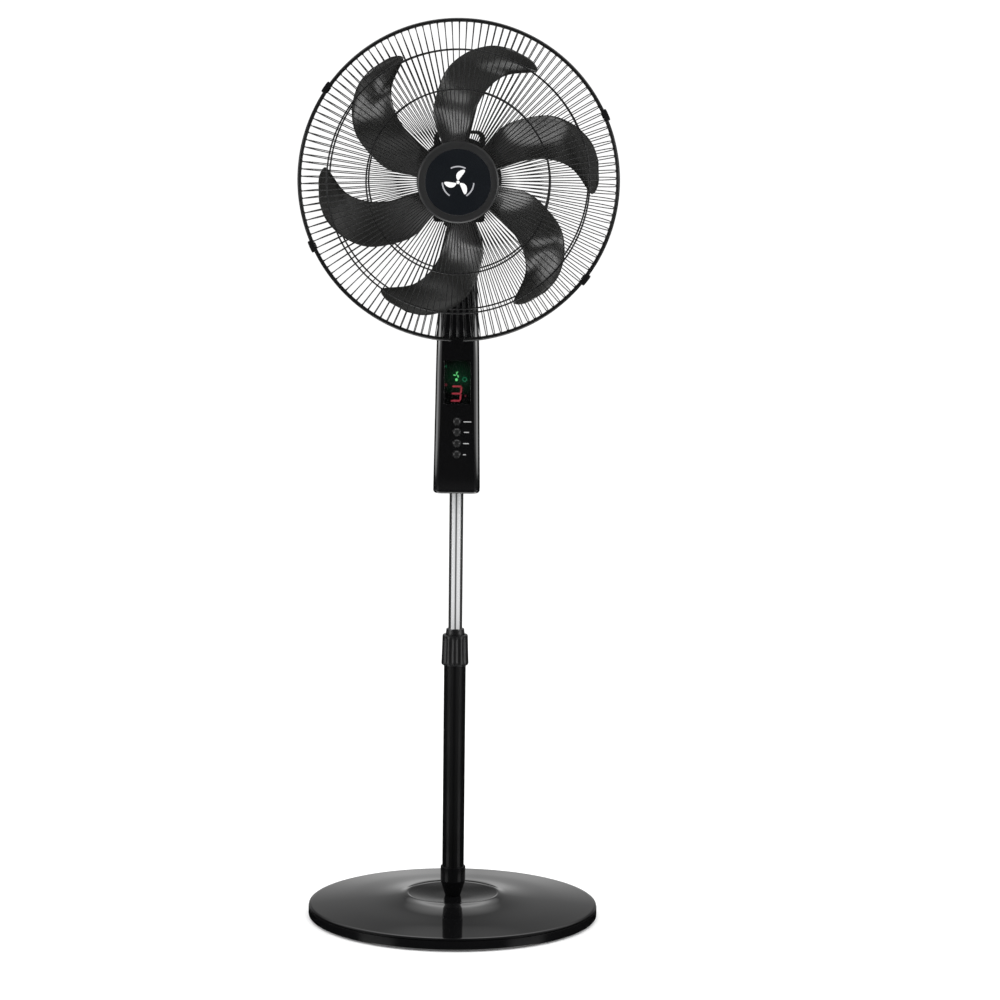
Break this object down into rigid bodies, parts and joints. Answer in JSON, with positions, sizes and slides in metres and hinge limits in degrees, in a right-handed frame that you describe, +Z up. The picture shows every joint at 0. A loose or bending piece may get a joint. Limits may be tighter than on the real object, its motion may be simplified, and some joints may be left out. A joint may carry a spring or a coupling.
{
  "type": "pedestal fan",
  "caption": "Upright fan on a round weighted foot, with a telescopic pole, control column, tilting swinging head and wire cage.",
  "frame": {"origin": "on the floor under the middle of the round base", "axes": "+Z up, the fan blows towards -Y, +X to the right seen from the front"},
  "size_m": [0.4284, 0.4, 1.2342],
  "materials": {
    "gloss_black": "piano black gloss",
    "satin_black": "satin moulded",
    "black_plastic": "fine matte",
    "painted_tube": "semi-gloss paint",
    "chrome_tube": "bright chrome",
    "ballast_steel": "raw",
    "zinc_steel": "zinc plated",
    "rubber_feet": "matte",
    "board_green": "solder mask",
    "smoked_lens": "smoked gloss",
    "display_red": "lit segments",
    "led_green": "clear resin",
    "switch_black": "moulded",
    "button_black": "gloss",
    "white_plastic": "acetal",
    "cast_alloy": "die cast",
    "core_steel": "laminated",
    "copper_wire": "enamelled",
    "bronze_bush": "sintered",
    "coated_wire": "powder coat",
    "cap_grey": "satin dark grey",
    "cap_navy": "printed insert",
    "blade_black": "gloss moulded"
  },
  "bodies": {
    "base": {"base_cover": "gloss_black", "base_weight": "ballast_steel", "base_bottom_plate": "black_plastic", "base_feet": "rubber_feet", "base_screws": "zinc_steel", "pole_foot": "satin_black", "pole_bolt": "zinc_steel", "outer_tube": "painted_tube", "tube_collet": "black_plastic"},
    "height_nut": {"height_nut": "satin_black"},
    "column": {"inner_tube": "chrome_tube", "inner_tube_glide": "black_plastic", "tube_clamp": "black_plastic", "column_front_cover": "gloss_black", "column_rear_cover": "gloss_black", "column_screws": "zinc_steel", "control_board": "board_green", "display_lens": "smoked_lens", "display_digit": "display_red", "indicator_leds": "led_green", "ir_receiver": "black_plastic", "button_switches": "switch_black", "cord_inlet": "rubber_feet", "tilt_bracket": "black_plastic", "tilt_pin": "zinc_steel"},
    "power_button": {"power_button": "button_black"},
    "speed_button": {"speed_button": "button_black"},
    "swing_button": {"swing_button": "button_black"},
    "timer_button": {"timer_button": "button_black"},
    "neck": {"neck": "black_plastic", "swing_spindle": "zinc_steel"},
    "head": {"motor_front_plate": "black_plastic", "motor_rear_shield": "cast_alloy", "stator_core": "core_steel", "stator_windings": "copper_wire", "motor_bearings": "bronze_bush", "motor_cover": "satin_black", "cover_screws": "zinc_steel", "swing_motor": "zinc_steel", "rear_wires": "coated_wire", "rear_rings": "coated_wire", "rear_mounting_plate": "coated_wire", "grille_nut": "satin_black", "carry_handle": "satin_black", "front_wires": "coated_wire", "front_rings": "coated_wire", "centre_cap": "cap_grey", "cap_disc": "cap_navy", "rim_lock": "gloss_black", "rim_screw": "painted_tube"},
    "rotor": {"impeller": "blade_black", "motor_shaft": "core_steel", "rotor_core": "core_steel", "blade_nut": "satin_black"},
    "swing_crank": {"swing_crank": "white_plastic"},
    "swing_link": {"swing_link": "zinc_steel"},
    "upper_right_clip": {"upper_right_clip": "satin_black"},
    "lower_right_clip": {"lower_right_clip": "satin_black"},
    "lower_left_clip": {"lower_left_clip": "satin_black"},
    "upper_left_clip": {"upper_left_clip": "satin_black"}
  },
  "joints": [
    {"name": "nut_turn", "type": "hinge", "parent": "base", "child": "height_nut", "pos_m": [0, 0, 0.377], "axis": [0, 0, 1], "range_deg": [0, 180]},
    {"name": "height_slide", "type": "slide", "parent": "base", "child": "column", "axis": [0, 0, 1], "range_m": [-0.18, 0.08]},
    {"name": "tilt", "type": "hinge", "parent": "column", "child": "neck", "pos_m": [0, 0, 0.925], "axis": [-1, 0, 0], "range_deg": [-5, 20]},
    {"name": "swing", "type": "hinge", "parent": "neck", "child": "head", "pos_m": [0, 0, 0.96], "axis": [0, 0, 1], "range_deg": [-40, 40]},
    {"name": "rotor_spin", "type": "hinge", "parent": "head", "child": "rotor", "pos_m": [0, -0.05, 1.02], "axis": [0, 1, 0], "continuous": true},
    {"name": "crank_turn", "type": "hinge", "parent": "head", "child": "swing_crank", "pos_m": [0, 0.036, 0.954], "axis": [0, 0, 1], "range_deg": [-90, 90]},
    {"name": "link_turn", "type": "hinge", "parent": "neck", "child": "swing_link", "pos_m": [0.015, 0, 0.951], "axis": [0, 0, 1], "range_deg": [-40, 40]},
    {"name": "power_button_press", "type": "slide", "parent": "column", "child": "power_button", "axis": [0, 1, 0], "range_m": [0, 0.0008], "stiffness_N_per_m": 600},
    {"name": "speed_button_press", "type": "slide", "parent": "column", "child": "speed_button", "axis": [0, 1, 0], "range_m": [0, 0.0008], "stiffness_N_per_m": 600},
    {"name": "swing_button_press", "type": "slide", "parent": "column", "child": "swing_button", "axis": [0, 1, 0], "range_m": [0, 0.0008], "stiffness_N_per_m": 600},
    {"name": "timer_button_press", "type": "slide", "parent": "column", "child": "timer_button", "axis": [0, 1, 0], "range_m": [0, 0.0008], "stiffness_N_per_m": 600},
    {"name": "upper_right_clip_open", "type": "hinge", "parent": "head", "child": "upper_right_clip", "pos_m": [0.19242, -0.0836, 1.10804], "axis": [-0.4161, 0, 0.9093], "range_deg": [0, 70]},
    {"name": "lower_right_clip_open", "type": "hinge", "parent": "head", "child": "lower_right_clip", "pos_m": [0.16853, -0.0836, 0.89205], "axis": [0.6047, 0, 0.7965], "range_deg": [0, 70]},
    {"name": "lower_left_clip_open", "type": "hinge", "parent": "head", "child": "lower_left_clip", "pos_m": [-0.19242, -0.0836, 0.93196], "axis": [0.4161, 0, -0.9093], "range_deg": [0, 70]},
    {"name": "upper_left_clip_open", "type": "hinge", "parent": "head", "child": "upper_left_clip", "pos_m": [-0.17435, -0.0836, 1.13991], "axis": [-0.5667, 0, -0.8239], "range_deg": [0, 70]}
  ],
  "couplings": [
    {"joint": "crank_turn", "follows": "swing", "ratio": -2.25},
    {"joint": "link_turn", "follows": "swing", "ratio": 1}
  ]
}
